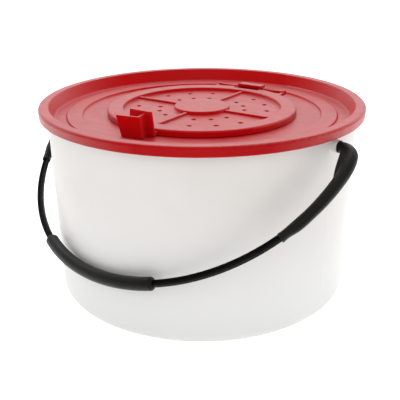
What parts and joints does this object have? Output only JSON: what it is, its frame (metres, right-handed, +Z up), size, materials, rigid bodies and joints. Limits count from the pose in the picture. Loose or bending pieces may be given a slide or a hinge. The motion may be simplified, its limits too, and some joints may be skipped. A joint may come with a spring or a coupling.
{
  "type": "lidded plastic fermenting bucket",
  "caption": "Low, wide white bucket with a press-on red lid, a hinged perforated vent hatch with a pull tab, and a black swinging bail with a round grip.",
  "frame": {"origin": "centre of the bucket's flat base, where it rests", "axes": "+Z up out of the bucket, X along the bail's pivot axis, -Y toward the side of the wall that the bail leans on"},
  "size_m": [0.34, 0.3024, 0.1863],
  "materials": {
    "bucket_white": "white polypropylene, satin",
    "lid_red": "red polyethylene, satin",
    "bail_black": "black plastic, satin"
  },
  "bodies": {
    "bucket": {"bucket_body": "bucket_white", "pivot_bush_right": "bail_black", "pivot_bush_left": "bail_black"},
    "lid_body": {"lid": "lid_red"},
    "hatch": {"vent_hatch": "lid_red"},
    "bail": {"bail_strap": "bail_black", "bail_grip": "bail_black", "bail_end_right": "bail_black", "bail_end_left": "bail_black"}
  },
  "joints": [
    {"name": "lid_lift", "type": "slide", "parent": "bucket", "child": "lid_body", "axis": [0, 0, 1], "range_m": [0, 0.15]},
    {"name": "hatch_hinge", "type": "hinge", "parent": "lid_body", "child": "hatch", "pos_m": [-0.01223, 0.0929, 0.1688], "axis": [-0.9914, -0.1305, 0], "range_deg": [0, 160]},
    {"name": "bail_swing", "type": "hinge", "parent": "bucket", "child": "bail", "pos_m": [0, 0, 0.16], "axis": [-1, 0, 0], "range_deg": [0, 250]}
  ]
}
